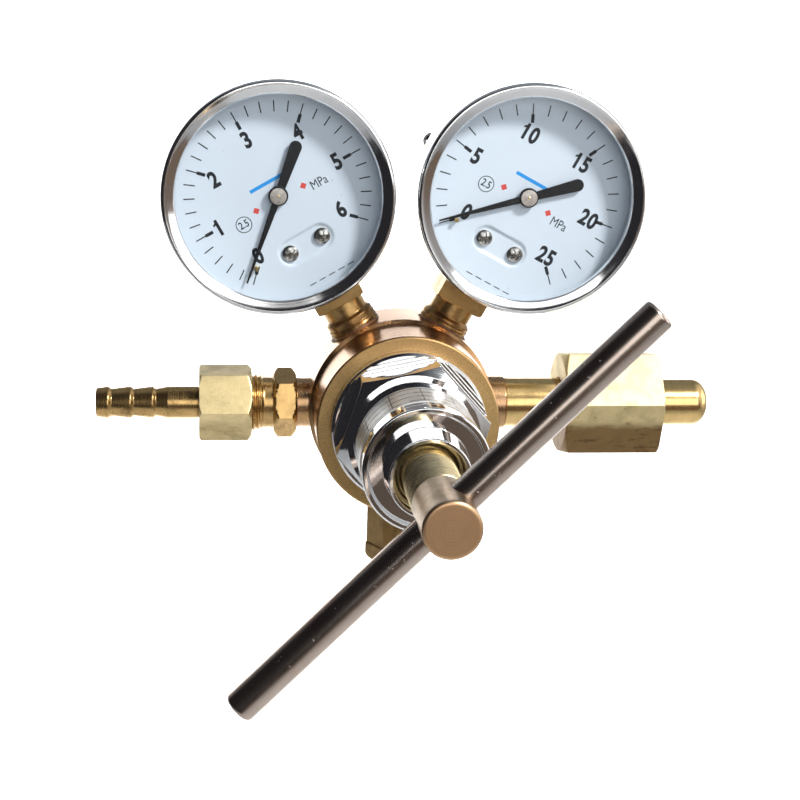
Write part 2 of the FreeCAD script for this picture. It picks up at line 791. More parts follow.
def make_spring_button():
    """Button that carries the main spring, with a socket for the thrust ball."""
    button = turned("button_part", [
        ("0", "button_rear - button_step"),
        ("button_spigot", "button_rear - button_step"),
        ("button_spigot + mouth_bevel", "button_rear"),
        ("button_radius", "button_rear"),
        ("button_radius", "button_rear + button_step"),
        ("button_spigot", "button_front"),
        ("0", "button_front"),
    ])
    stand(button, FORWARD)
    socket = document.addObject("Part::Sphere", "ball_socket")
    bind(socket, Radius="ball_radius + screw_clearance")
    stand(socket, FORWARD, y="-ball_centre")
    deliver(cut_away("socketed_button", button, [socket]), "spring_button")
    ball = document.addObject("Part::Sphere", "ball_part")
    bind(ball, Radius="ball_radius")
    stand(ball, FORWARD, y="-ball_centre")
    deliver(ball, "thrust_ball")


def make_main_spring():
    """Open coil of thick wire between the diaphragm plate and the button."""
    spring = coil_spring("main_coil", "main_spring_radius", "main_spring_wire", "main_spring_pitch",
                         "diaphragm_seat + diaphragm_thickness + plate_thickness + spring_gap",
                         "button_rear - spring_gap", "y")
    deliver(spring, "main_spring")


# -------------------------------------------------------------------- valve and its seat

def make_diaphragm_plate():
    """Plate in front of the diaphragm, with a spigot that centres the main spring."""
    base = "diaphragm_seat + diaphragm_thickness"
    plate = turned("plate_part", [
        ("0", base),
        ("plate_radius", base),
        ("plate_radius", f"{base} + plate_thickness"),
        ("plate_spigot_radius + edge_break", f"{base} + plate_thickness"),
        ("plate_spigot_radius", f"{base} + plate_spigot_height"),
        ("0", f"{base} + plate_spigot_height"),
    ])
    deliver(stand(plate, FORWARD), "diaphragm_plate")


def make_push_pin():
    """Pad behind the diaphragm, with the pin that reaches through the nozzle."""
    pin = turned("pin_part", [
        ("0", "nozzle_rear - nozzle_lip"),
        ("pin_radius", "nozzle_rear - nozzle_lip"),
        ("pin_radius", "diaphragm_seat - pad_thickness"),
        ("pad_radius", "diaphragm_seat - pad_thickness"),
        ("pad_radius", "diaphragm_seat"),
        ("0", "diaphragm_seat"),
    ])
    deliver(stand(pin, FORWARD), "push_pin")


def make_nozzle():
    """Screwed nozzle: hexagon head in the low-pressure chamber, seat lip in the valve room."""
    nozzle = turned("nozzle_part", [
        ("nozzle_bore_radius", "nozzle_rear - nozzle_lip"),
        ("nozzle_bore_radius + small_bevel", "nozzle_rear - nozzle_lip"),
        ("nozzle_lip_radius", "nozzle_rear"),
        ("nozzle_thread_radius", "nozzle_rear"),
        ("nozzle_thread_radius", "chamber_floor"),
        ("nozzle_flats / sqrt(3)", "chamber_floor"),
        ("nozzle_flats / sqrt(3)", "chamber_floor + nozzle_head - small_bevel"),
        ("nozzle_flats / 2", "chamber_floor + nozzle_head"),
        ("nozzle_bore_radius", "chamber_floor + nozzle_head"),
    ])
    mill_hexagon(nozzle, "nozzle_flats", "chamber_floor", "chamber_floor + nozzle_head")
    deliver(stand(nozzle, FORWARD), "valve_nozzle")


def make_poppet():
    """Valve poppet: seat disc with a guide stem that slides in the rear plug."""
    face = "nozzle_rear - nozzle_lip - seat_gap"
    poppet = turned("poppet_part", [
        ("0", f"{face} - poppet_thickness - poppet_stem_length"),
        ("poppet_stem_radius", f"{face} - poppet_thickness - poppet_stem_length"),
        ("poppet_stem_radius", f"{face} - poppet_thickness"),
        ("poppet_radius", f"{face} - poppet_thickness"),
        ("poppet_radius", f"{face} - small_bevel"),
        ("poppet_radius - small_bevel", face),
        ("0", face),
    ])
    deliver(stand(poppet, FORWARD), "valve_poppet")


def make_rear_plug():
    """Hexagon plug that closes the valve room and guides the poppet."""
    seat = "-body_rear - plug_boss_length"
    plug = turned("plug_part", [
        ("plug_cup_radius", "-valve_room_rear"),
        ("plug_thread_radius", "-valve_room_rear"),
        ("plug_thread_radius", seat),
        ("plug_flats / sqrt(3)", seat),
        ("plug_flats / sqrt(3)", f"{seat} - plug_head + fitting_bevel_rise"),
        ("plug_flats / 2 - edge_break", f"{seat} - plug_head"),
        ("0", f"{seat} - plug_head"),
        ("0", "-valve_room_rear - plug_cup_depth - plug_guide_depth"),
        ("poppet_stem_radius + plug_guide_clearance", "-valve_room_rear - plug_cup_depth - plug_guide_depth"),
        ("poppet_stem_radius + plug_guide_clearance", "-valve_room_rear - plug_cup_depth"),
        ("plug_cup_radius", "-valve_room_rear - plug_cup_depth"),
    ])
    mill_hexagon(plug, "plug_flats", f"{seat} - plug_head", seat)
    deliver(stand(plug, FORWARD), "rear_plug")


def make_poppet_spring():
    """Light coil behind the poppet."""
    spring = coil_spring("valve_coil", "valve_spring_radius", "valve_spring_wire", "valve_spring_pitch",
                         "-valve_room_rear - plug_cup_depth + seat_gap",
                         "nozzle_rear - nozzle_lip - poppet_thickness - spring_gap", "y")
    deliver(spring, "poppet_spring")


# ------------------------------------------------------------------- inlet connection

def make_inlet_stem():
    """Plain tube screwed into the body's inlet boss."""
    stem = turned("stem_part", [
        ("stem_bore_radius", "inlet_boss_end - stem_thread_depth"),
        ("stem_thread_radius", "inlet_boss_end - stem_thread_depth"),
        ("stem_thread_radius", "inlet_boss_end"),
        ("stem_radius - edge_break", "inlet_boss_end"),
        ("stem_radius", "inlet_boss_end + edge_break"),
        ("stem_radius", "stem_end - edge_break"),
        ("stem_radius - edge_break", "stem_end"),
        ("nipple_tail_radius", "stem_end"),
        ("nipple_tail_radius", "stem_end - nipple_tail_length - small_bevel"),
        ("stem_bore_radius", "stem_end - nipple_tail_length - small_bevel"),
    ])
    deliver(stand(stem, RIGHT), "inlet_stem")


def make_inlet_nipple():
    """Nipple: tail in the stem, the shoulder that the nut pulls on, hexagon and round nose."""
    corner = "nipple_flats / sqrt(3)"
    filter_end = "stem_end - nipple_tail_length + filter_length"
    nose_tip = "inlet_reach + nose_length"
    nipple = turned("nipple_part", [
        ("filter_radius", "stem_end - nipple_tail_length"),
        ("nipple_tail_radius", "stem_end - nipple_tail_length"),
        ("nipple_tail_radius", "stem_end"),
        ("nipple_shoulder_radius", "stem_end"),
        ("nipple_shoulder_radius", "stem_end + nipple_shoulder"),
        (corner, "stem_end + nipple_shoulder"),
        (corner, "inlet_reach - nipple_chamfer"),
        (f"{corner} - nipple_chamfer", "inlet_reach"),
        ("nose_radius", "inlet_reach"),
        ("nose_radius", nose_tip),
        ("nose_hole_radius", nose_tip),
        ("nose_hole_radius", filter_end),
        ("filter_radius", filter_end),
    ])
    mill_hexagon(nipple, "nipple_flats", "stem_end + nipple_shoulder", "inlet_reach",
                 "nipple_turn")
    round_rings(nipple, [("nose_radius", nose_tip)], "nose_round")
    deliver(stand(nipple, RIGHT), "inlet_nipple")
    sieve = turned("filter_part", [
        ("filter_radius - filter_wall", "stem_end - nipple_tail_length"),
        ("filter_radius", "stem_end - nipple_tail_length"),
        ("filter_radius", filter_end),
        ("0", filter_end),
        ("0", f"{filter_end} - filter_wall"),
        ("filter_radius - filter_wall", f"{filter_end} - filter_wall"),
    ])
    deliver(stand(sieve, RIGHT), "inlet_filter")


def make_inlet_nut():
    """Large hexagon nut, free to turn on the stem, threaded inside for the cylinder valve."""
    corner = "inlet_nut_flats / sqrt(3)"
    nut = turned("inlet_nut_part", [
        ("stem_radius + inlet_nut_clearance", "inlet_nut_rear"),
        (f"{corner} - inlet_nut_rear_chamfer", "inlet_nut_rear"),
        (corner, "inlet_nut_rear + nut_bevel_slope * inlet_nut_rear_chamfer"),
        (corner, "inlet_nut_front - nut_bevel_slope * inlet_nut_front_chamfer"),
        (f"{corner} - inlet_nut_front_chamfer", "inlet_nut_front"),
        ("inlet_nut_bore_radius + mouth_bevel", "inlet_nut_front"),
        ("inlet_nut_bore_radius", "inlet_nut_front - mouth_bevel"),
        ("inlet_nut_bore_radius", "inlet_nut_rear + inlet_nut_wall"),
        ("stem_radius + inlet_nut_clearance", "inlet_nut_rear + inlet_nut_wall"),
    ])
    mill_hexagon(nut, "inlet_nut_flats", "inlet_nut_rear", "inlet_nut_front", "inlet_nut_turn")
    deliver(stand(nut, RIGHT), "inlet_nut")


# ------------------------------------------------------------------ outlet connection

def make_outlet_adapter():
    """Adapter: tail in the body, hexagon, neck and the male thread with a coned seat."""
    corner = "adapter_flats / sqrt(3)"
    adapter = turned("adapter_part", [
        ("adapter_bore_radius", "outlet_boss_end - adapter_thread_depth"),
        ("adapter_thread_radius", "outlet_boss_end - adapter_thread_depth"),
        ("adapter_thread_radius", "outlet_boss_end"),
        (f"{corner} - fitting_bevel", "outlet_boss_end"),
        (corner, "outlet_boss_end + fitting_bevel_rise"),
        (corner, "adapter_hex_end - fitting_bevel_rise"),
        (f"{corner} - fitting_bevel", "adapter_hex_end"),
        ("adapter_neck_radius", "adapter_hex_end"),
        ("adapter_neck_radius", "adapter_neck_end"),
        ("adapter_male_radius", "adapter_neck_end + mouth_bevel"),
        ("adapter_male_radius", "adapter_end - thread_bevel"),
        ("adapter_male_radius - thread_bevel", "adapter_end"),
        ("adapter_seat_radius", "adapter_end"),
        ("adapter_bore_radius", "adapter_end - adapter_seat_depth"),
    ])
    mill_hexagon(adapter, "adapter_flats", "outlet_boss_end", "adapter_hex_end",
                 "adapter_turn")
    deliver(stand(adapter, LEFT), "outlet_adapter")


def make_outlet_nut():
    """Union nut that draws the hose barb's collar onto the adapter."""
    corner = "outlet_nut_flats / sqrt(3)"
    wall = "outlet_nut_front - outlet_nut_wall"
    thread = "adapter_male_radius + outlet_nut_clearance"
    nut = turned("outlet_nut_part", [
        (f"{thread} + small_bevel", "outlet_nut_rear"),
        (f"{corner} - nut_bevel", "outlet_nut_rear"),
        (corner, "outlet_nut_rear + thread_bevel"),
        (corner, "outlet_nut_front - thread_bevel"),
        (f"{corner} - nut_bevel", "outlet_nut_front"),
        ("barb_shank_radius + barb_clearance", "outlet_nut_front"),
        ("barb_shank_radius + barb_clearance", wall),
        (thread, wall),
        (thread, "outlet_nut_rear + small_bevel"),
    ])
    mill_hexagon(nut, "outlet_nut_flats", "outlet_nut_rear", "outlet_nut_front", "outlet_nut_turn")
    deliver(stand(nut, LEFT), "outlet_nut")


def make_hose_barb():
    """Hose tail: sealing cone, collar, plain shank and barbs that rise towards the body."""
    outline = [
        ("barb_bore_radius", "barb_collar_rear - barb_cone_length"),
        ("barb_cone_tip", "barb_collar_rear - barb_cone_length"),
        ("barb_cone_radius", "barb_collar_rear"),
        ("barb_collar_radius", "barb_collar_rear"),
        ("barb_collar_radius", "barb_collar_front"),
        ("barb_root_radius", "barb_collar_front"),
        ("barb_root_radius", "barb_root_end"),
        ("barb_shank_radius", "barb_root_end"),
        ("barb_shank_radius", "barb_shank_end"),
    ]
    for barb in range(BARBS):
        crest = f"barb_first_crest + {barb} * barb_pitch"
        outline.append(("barb_valley_radius", f"{crest} - barb_valley_width"))
        outline.append(("barb_shank_radius - seat_gap", crest))
        outline.append(("barb_shank_radius", f"{crest} + edge_break"))
    outline.append(("barb_tip_radius", "barb_end - edge_break"))
    outline.append(("barb_tip_radius - edge_break", "barb_end"))
    outline.append(("barb_bore_radius", "barb_end"))
    deliver(stand(turned("barb_part", outline), LEFT), "hose_barb")


# ----------------------------------------------------------------------- relief valve

def make_relief_valve():
    """Relief valve under the body: hexagon body, cap, poppet and its light spring."""
    corner = "relief_flats / sqrt(3)"
    thread_top = "relief_boss_end - relief_thread_depth"
    body = turned("relief_part", [
        ("relief_seat_radius", thread_top),
        ("relief_thread_radius", thread_top),
        ("relief_thread_radius", "relief_boss_end"),
        (f"{corner} - mouth_bevel", "relief_boss_end"),
        (corner, "relief_boss_end + small_bevel"),
        (corner, "relief_hex_end"),
        ("relief_neck_radius", "relief_hex_end"),
        ("relief_neck_radius", "relief_hex_end + relief_neck_length"),
        ("relief_spring_room", "relief_hex_end + relief_neck_length"),
        ("relief_spring_room", "relief_room_start"),
        ("relief_seat_radius", "relief_room_start"),
    ])
    mill_hexagon(body, "relief_flats", "relief_boss_end", "relief_hex_end", "30")
    turn_to_front = FreeCAD.Rotation(FreeCAD.Vector(0, 0, 1), 30)
    deliver(stand(body, DOWN.multiply(turn_to_front)), "relief_body")

    cap_corner = "relief_cap_flats / sqrt(3)"
    cap = turned("relief_cap_part", [
        ("relief_neck_radius", "relief_hex_end"),
        (cap_corner, "relief_hex_end"),
        (cap_corner, "relief_cap_end"),
        ("relief_vent_radius", "relief_cap_end"),
        ("relief_vent_radius", "relief_hex_end + relief_neck_length"),
        ("relief_neck_radius", "relief_hex_end + relief_neck_length"),
    ])
    round_rings(cap, [(cap_corner, "relief_cap_end")], "relief_cap_round")
    mill_hexagon(cap, "relief_cap_flats", "relief_hex_end", "relief_cap_end", "30")
    deliver(stand(cap, DOWN.multiply(turn_to_front)), "relief_cap")

    poppet = turned("relief_poppet_part", [
        ("0", "relief_room_start - small_bevel"),
        ("relief_seat_radius - small_bevel", "relief_room_start - small_bevel"),
        ("relief_seat_radius - spring_gap", "relief_room_start + seat_gap"),
        ("relief_disc_radius", "relief_room_start + seat_gap"),
        ("relief_disc_radius", "relief_room_start + relief_disc_thickness"),
        ("relief_rod_radius", "relief_room_start + relief_disc_thickness"),
        ("relief_rod_radius", "relief_room_start + relief_disc_thickness + relief_rod_length"),
        ("0", "relief_room_start + relief_disc_thickness + relief_rod_length"),
    ])
    deliver(stand(poppet, DOWN), "relief_poppet")

    spring = coil_spring("relief_coil", "relief_coil_radius", "relief_wire_radius", "relief_coil_pitch",
                         "relief_room_start + relief_disc_thickness + seat_gap",
                         "relief_hex_end + relief_neck_length", "z", DOWN)
    deliver(spring, "relief_spring")


# ------------------------------------------------------------------------------ gauges

class Gauge:
    """One gauge's place. Its own frame has +Y up away from the stem and +Z forward."""

    def __init__(self, side):
        self.side = side
        self.distance = f"{side}_gauge_distance"
        self.lean = f"{side}_gauge_lean"
        self.dial_turn = f"{side}_dial_turn"

    def name(self, piece):
        """Name of a piece of this gauge."""
        return f"{self.side}_gauge_{piece}"

    def put(self, item, turned_by, rotation, right="0", up="0"):
        """Put an item in a frame leaning by turned_by, moved right and up within it."""
        lean = FreeCAD.Rotation(FreeCAD.Vector(0, 1, 0), value(turned_by))
        across = f"{self.distance} * sin({self.lean})"
        above = f"{self.distance} * cos({self.lean})"
        return stand(item, lean.multiply(rotation),
                     x=f"{across} + ({right}) * cos({turned_by}) + ({up}) * sin({turned_by})",
                     z=f"{above} - ({right}) * sin({turned_by}) + ({up}) * cos({turned_by})")

    def seat(self, item, right="0", up="0", turn="0"):
        """Put an item in the case's frame, facing forward, turned anticlockwise about itself."""
        own_turn = FreeCAD.Rotation(FreeCAD.Vector(0, 0, 1), value(turn))
        return self.put(item, self.lean, FORWARD.multiply(own_turn), right, up)

    def seat_by_dial(self, item, right="0", up="0", turn="0"):
        """The same in the dial's frame, which the maker turned a little in the case."""
        own_turn = FreeCAD.Rotation(FreeCAD.Vector(0, 0, 1), value(turn))
        return self.put(item, self.dial_turn, FORWARD.multiply(own_turn), right, up)

    def deliver(self, item, piece):
        """List a finished piece of this gauge."""
        return deliver(item, self.name(piece))


def compound(name, items):
    """Several separate solids kept as one sub-part."""
    item = document.addObject("Part::Compound", name)
    item.Links = items
    return item


def padded(name, outline, low, high):
    """Prism between two heights on an outline of straight lines."""
    body = document.addObject("PartDesign::Body", name)
    sketch = new_sketch(body, f"{name}_outline", "XY_Plane", low)
    draw_outline(sketch, outline)
    pad = body.newObject("PartDesign::Pad", f"{name}_pad")
    pad.Profile = sketch
    pad.setExpression("Length", bound(f"{high} - ({low})"))
    body.Tip = pad
    document.recompute()
    return body


def round_uprights(body, size):
    """Round every edge of a prism that stands parallel to its own Z axis."""
    base = body.Tip
    names = []
    for number, edge in enumerate(base.Shape.Edges, start=1):
        rise = edge.Vertexes[-1].Point - edge.Vertexes[0].Point
        if abs(rise.z) > 0.01:
            names.append(f"Edge{number}")
    dressing = body.newObject("PartDesign::Fillet", f"{body.Name}_corners")
    dressing.Base = (base, names)
    dressing.setExpression("Radius", bound(size))
    body.Tip = dressing
    document.recompute()


def make_case(gauge):
    """Pressed steel cup with a rounded back and an opening for the socket's bar."""
    cup = turned(gauge.name("cup"), [
        ("0", "case_back"),
        ("case_radius", "case_back"),
        ("case_radius", "case_front"),
        ("case_radius - case_wall", "case_front"),
        ("case_radius - case_wall", "case_back + case_wall"),
        ("0", "case_back + case_wall"),
    ])
    round_rings(cup, [("case_radius", "case_back")], "case_round")
    round_rings(cup, [("case_radius - case_wall", "case_back + case_wall")], "case_round - case_wall")
    gauge.seat(cup)
    opening = cylinder(gauge.name("opening"), "socket_bar_width / sqrt(2) + spring_gap", "case_round - case_back")
    gauge.put(opening, gauge.lean, DOWN, up="4 - case_radius")
    gauge.deliver(cut_away(gauge.name("cut_cup"), cup, [opening]), "case")


def make_bezel(gauge):
    """Snap-on ring: skirt over the case, rounded crown and a slope in to the lens."""
    ring = turned(gauge.name("ring"), [
        ("case_radius + rim_fit", "bezel_rear"),
        ("bezel_radius", "bezel_rear"),
        ("bezel_radius", "bezel_front - bezel_crown"),
        ("bezel_radius - bezel_crown / 3", "bezel_front - bezel_crown / 4"),
        ("bezel_radius - bezel_crown * 0.8", "bezel_front"),
        ("bezel_land_radius", "bezel_front - 0.1"),
        ("bezel_lip_radius", "lens_rear + lens_thickness + 0.5"),
        ("bezel_lip_radius", "lens_rear + lens_thickness"),
        ("lens_radius", "lens_rear + lens_thickness"),
        ("lens_radius", "lens_rear"),
        ("case_radius + rim_fit", "lens_rear"),
    ])
    gauge.deliver(gauge.seat(ring), "bezel")


def make_lens(gauge):
    """Flat glass on the rim of the case."""
    lens = turned(gauge.name("glass"), [
        ("0", "lens_rear"),
        ("lens_radius - rim_fit", "lens_rear"),
        ("lens_radius - rim_fit", "lens_rear + lens_thickness"),
        ("0", "lens_rear + lens_thickness"),
    ])
    gauge.deliver(gauge.seat(lens), "lens")


def make_dial(gauge):
    """Dial plate with the hole for the arbor, its two screws and the pointer's stop pin."""
    front = "dial_rear + dial_thickness"
    plate = turned(gauge.name("plate"), [
        ("dial_hole_radius", "dial_rear"),
        ("dial_radius", "dial_rear"),
        ("dial_radius", front),
        ("dial_hole_radius", front),
    ])
    gauge.deliver(gauge.seat_by_dial(plate), "dial")

    heads = []
    for side in (-1, 1):
        head = turned(gauge.name(f"screw_{len(heads)}"), [
            ("0", front),
            ("dial_screw_radius", front),
            ("dial_screw_radius", f"{front} + dial_screw_height / 2"),
            ("dial_screw_radius - small_bevel", f"{front} + dial_screw_height"),
            ("0", f"{front} + dial_screw_height"),
        ])
        heads.append(gauge.seat_by_dial(head, f"{side} * dial_screw_spread / 2", "-dial_screw_drop"))
    gauge.deliver(compound(gauge.name("screw_pair"), heads), "dial_screws")

    pin = turned(gauge.name("stop"), [
        ("0", front),
        ("stop_pin_radius", front),
        ("stop_pin_radius", "pointer_rear + pointer_thickness + edge_break"),
        ("0", "pointer_rear + pointer_thickness + edge_break"),
    ])
    gauge.seat_by_dial(pin, "stop_pin_place * cos(dial_zero + stop_pin_lag)",
                       "stop_pin_place * sin(dial_zero + stop_pin_lag)")
    gauge.deliver(pin, "stop_pin")


def make_case_screws(gauge):
    """Two round-headed screws in the side of the case, at three and nine o'clock."""
    screws = []
    for side, turn in ((-1, LEFT), (1, RIGHT)):
        screw = turned(gauge.name(f"side_screw_{len(screws)}"), [
            ("0", "0"),
            ("case_screw_radius", "0"),
            ("case_screw_radius", "case_screw_head / 2"),
            ("case_screw_radius - small_bevel", "case_screw_head"),
            ("0", "case_screw_head"),
        ])
        gauge.put(screw, gauge.lean, turn, f"{side} * case_radius")
        screw.setExpression("Placement.Base.y", bound("-case_screw_height"))
        screws.append(screw)
    gauge.deliver(compound(gauge.name("side_screws"), screws), "case_screws")


def mill_square(body, name, width, low, high):
    """Mill four flats on a turned blank between two heights."""
    half = f"{width} / 2"
    sketch = new_sketch(body, name, "XY_Plane", high)
    draw_circle(sketch, f"{width}")
    draw_outline(sketch, [(f"-{half}", f"-{half}"), (half, f"-{half}"), (half, half), (f"-{half}", half)])
    cut = body.newObject("PartDesign::Pocket", f"{name}_milling")
    cut.Profile = sketch
    cut.setExpression("Length", bound(f"{high} - ({low})"))
    checked_cut(body, cut)


def make_socket(gauge):
    """Brass socket: bar inside the case, square block for the spanner, neck and thread."""
    bar_corner = "socket_bar_width / sqrt(2)"
    block_corner = "socket_width / sqrt(2)"
    foot = f"{gauge.distance} - body_radius + gauge_thread_depth"
    socket = turned(gauge.name("socket_blank"), [
        ("0", "socket_bar_top"),
        (bar_corner, "socket_bar_top"),
        (bar_corner, "socket_block_top"),
        (f"{block_corner} - thread_bevel", "socket_block_top"),
        (block_corner, "socket_block_top + mouth_bevel"),
        (block_corner, "socket_block_bottom - mouth_bevel"),
        (f"{block_corner} - thread_bevel", "socket_block_bottom"),
        ("socket_neck_radius", "socket_block_bottom"),
        ("socket_neck_radius", "socket_neck_bottom - small_bevel"),
        ("gauge_thread_radius", "socket_neck_bottom + edge_break"),
        ("gauge_thread_radius", foot),
        ("socket_bore_radius", foot),
        ("socket_bore_radius", "tube_arc_radius"),
        ("0", "tube_arc_radius"),
    ])
    mill_square(socket, gauge.name("bar"), "socket_bar_width", "socket_bar_top", "socket_block_top")
    mill_square(socket, gauge.name("block"), "socket_width", "socket_block_top",
                "socket_block_bottom")
    gauge.put(socket, gauge.lean, DOWN)
    gauge.deliver(socket, "socket")


def make_bourdon_tube(gauge):
    """Flattened C-shaped tube from the socket's bar, with an end piece that carries a pin."""
    skins = []
    for skin, wall in (("outside", "0"), ("inside", "tube_wall")):
        section = document.addObject("Part::Ellipse", gauge.name(f"tube_{skin}_section"))
        bind(section, MajorRadius=f"tube_half_height - {wall}", MinorRadius=f"tube_half_width - {wall}")
        upright = FreeCAD.Rotation(FreeCAD.Vector(1, 0, 0), 90)
        quarter = FreeCAD.Rotation(FreeCAD.Vector(0, 0, 1), 90)
        section.Placement = FreeCAD.Placement(FreeCAD.Vector(), upright.multiply(quarter))
        section.setExpression("Placement.Base.x", bound("tube_arc_radius"))
        arc = document.addObject("Part::Revolution", gauge.name(f"tube_{skin}"))
        arc.Source = section
        arc.Axis = FreeCAD.Vector(0, 0, 1)
        arc.Base = FreeCAD.Vector()
        arc.Solid = True
        arc.setExpression("Angle", bound("tube_sweep"))
        skins.append(gauge.seat(arc, turn="tube_start"))
    tube = cut_away(gauge.name("tube"), skins[0], skins[1:])
    end = "tube_start + tube_sweep"
    cap = padded(gauge.name("tube_cap"), [
        ("tube_arc_radius - 1.7", "-0.6"),
        ("tube_arc_radius + 1.7", "-0.6"),
        ("tube_arc_radius + 1.7", "1.8"),
        ("tube_arc_radius - 1.7", "1.8"),
    ], "-tube_half_height - 0.4", "link_rear - 0.2")
    gauge.seat(cap, turn=end)
    pin = cylinder(gauge.name("tube_pin"), "link_pin_radius", "link_thickness + 0.6")
    gauge.seat(pin, f"tube_arc_radius * cos({end} + tube_pin_turn)",
               f"tube_arc_radius * sin({end} + tube_pin_turn)")
    pin.setExpression("Placement.Base.y", bound("0.2 - link_rear"))
    gauge.deliver(fused(gauge.name("tube_with_end"), [tube, cap, pin]), "bourdon_tube")


# ---------------------------------------------------------------------- gauge movement

def involute_angle(base_radius, radius):
    """Angle that an involute has swept round its base circle when it reaches a radius."""
    pressure = math.acos(base_radius / radius)
    return math.tan(pressure) - pressure


def point_at(radius, angle, height):
    """Point at a radius and an angle in radians, at a height."""
    return FreeCAD.Vector(radius * math.cos(angle), radius * math.sin(angle), height)


def tooth_edges(teeth, middle, addendum, dedendum, height):
    """Edges of one involute tooth about an angle, and its first and last root points."""
    module = value("gear_module")
    pitch_radius = module * teeth / 2
    base_radius = pitch_radius * math.cos(math.radians(PRESSURE_ANGLE))
    root_radius = pitch_radius - dedendum * module
    tip_radius = pitch_radius + addendum * module
    start_radius = max(base_radius, root_radius)
    half_thickness = math.pi / (2 * teeth) - BACKLASH * module / pitch_radius
    at_pitch = involute_angle(base_radius, pitch_radius)
    rising = []
    for step in range(FLANK_POINTS):
        radius = start_radius + (tip_radius - start_radius) * step / (FLANK_POINTS - 1)
        swing = half_thickness + at_pitch - involute_angle(base_radius, radius)
        rising.append((radius, swing))
    left = [point_at(radius, middle - swing, height) for radius, swing in rising]
    right = [point_at(radius, middle + swing, height) for radius, swing in reversed(rising)]
    first_root = point_at(root_radius, middle - rising[0][1], height)
    last_root = point_at(root_radius, middle + rising[0][1], height)
    edges = []
    for flank in (left, right):
        curve = Part.BSplineCurve()
        curve.interpolate(flank)
        edges.append(curve.toShape())
    edges.insert(1, Part.Arc(left[-1], point_at(tip_radius, middle, height), right[0]).toShape())
    if root_radius < start_radius:
        edges.insert(0, Part.makeLine(first_root, left[0]))
        edges.append(Part.makeLine(right[-1], last_root))
    return edges, first_root, last_root


def toothed_arc(teeth, first_angle, count, addendum, dedendum, height):
    """Edges of a run of teeth joined by root arcs, with the run's two end points."""
    module = value("gear_module")
    root_radius = module * teeth / 2 - dedendum * module
    pitch_angle = 2 * math.pi / teeth
    edges = []
    start = None
    end = None
    for tooth in range(count):
        middle = first_angle + tooth * pitch_angle
        tooth_run, first_root, last_root = tooth_edges(teeth, middle, addendum, dedendum, height)
        if end:
            valley = point_at(root_radius, middle - pitch_angle / 2, height)
            edges.append(Part.Arc(end, valley, first_root).toShape())
        else:
            start = first_root
        edges += tooth_run
        end = last_root
    return edges, start, end


def make_sector_gear(gauge):
    """Toothed sector on its own arbor, with a tail and a pin for the link."""
    rear = value("sector_rear")
    thickness = FreeCAD.Vector(0, 0, value("sector_thickness"))
    teeth = int(value("sector_teeth"))
    first_angle = math.radians(90) - SECTOR_TEETH_BEFORE * 2 * math.pi / teeth
    edges, start, end = toothed_arc(teeth, first_angle, SECTOR_TEETH_CUT, SECTOR_ADDENDUM,
                                    SECTOR_DEDENDUM, rear)
    hub = FreeCAD.Vector(0, 0, rear)
    edges.append(Part.makeLine(end, hub))
    edges.append(Part.makeLine(hub, start))
    fan = Part.Face(Part.Wire(Part.__sortEdges__(edges))).extrude(thickness)

    hub_disc = Part.makeCylinder(2.2, thickness.z, hub)
    tail_angle = math.radians(value("sector_tail_angle"))
    tail_end = point_at(value("sector_tail_length"), tail_angle, rear)
    tail_eye = Part.makeCylinder(value("link_half_width"), thickness.z, tail_end)
    tail_arm = bar_between(hub, tail_end, 2 * value("link_half_width"), thickness.z)
    arbor = Part.makeCylinder(value("arbor_radius"), value("2 * frame_thickness + plate_gap"),
                              FreeCAD.Vector(0, 0, value("plate_rear")))
    pin = Part.makeCylinder(value("link_pin_radius"), value("sector_rear - link_rear"),
                            point_at(value("sector_tail_length"), tail_angle, value("link_rear")))
    sector = fan.multiFuse([hub_disc, tail_eye, tail_arm, arbor, pin]).removeSplitter()
    feature = document.addObject("Part::Feature", gauge.name("sector"))
    feature.Shape = sector
    gauge.seat(feature, up="-gear_module * (pinion_teeth + sector_teeth) / 2")
    gauge.deliver(feature, "sector_gear")


def bar_between(start, end, width, height):
    """Flat bar of a given width along the line between two points."""
    along = end - start
    across = FreeCAD.Vector(-along.y, along.x, 0).normalize() * (width / 2)
    corners = [start + across, end + across, end - across, start - across, start + across]
    return Part.Face(Part.makePolygon(corners)).extrude(FreeCAD.Vector(0, 0, height))


def make_pinion(gauge):
    """Pinion cut on the pointer's arbor, in mesh with the sector."""
    teeth = int(value("pinion_teeth"))
    rear = value("sector_rear - pinion_overlap")
    first_angle = math.radians(-90) + math.pi / teeth
    edges, start, end = toothed_arc(teeth, first_angle, teeth, PINION_ADDENDUM, PINION_DEDENDUM, rear)
    root_radius = value("gear_module") * (teeth / 2 - PINION_DEDENDUM)
    closing = point_at(root_radius, first_angle - math.pi / teeth, rear)
    edges.append(Part.Arc(end, closing, start).toShape())
    length = value("sector_thickness + 2 * pinion_overlap")
    gear = Part.Face(Part.Wire(Part.__sortEdges__(edges))).extrude(FreeCAD.Vector(0, 0, length))
    arbor = Part.makeCylinder(value("arbor_radius"), value("pointer_hub_front - plate_rear"),
                              FreeCAD.Vector(0, 0, value("plate_rear")))
    feature = document.addObject("Part::Feature", gauge.name("pinion_arbor"))
    feature.Shape = gear.fuse(arbor).removeSplitter()
    gauge.seat(feature)
    gauge.deliver(feature, "pinion")


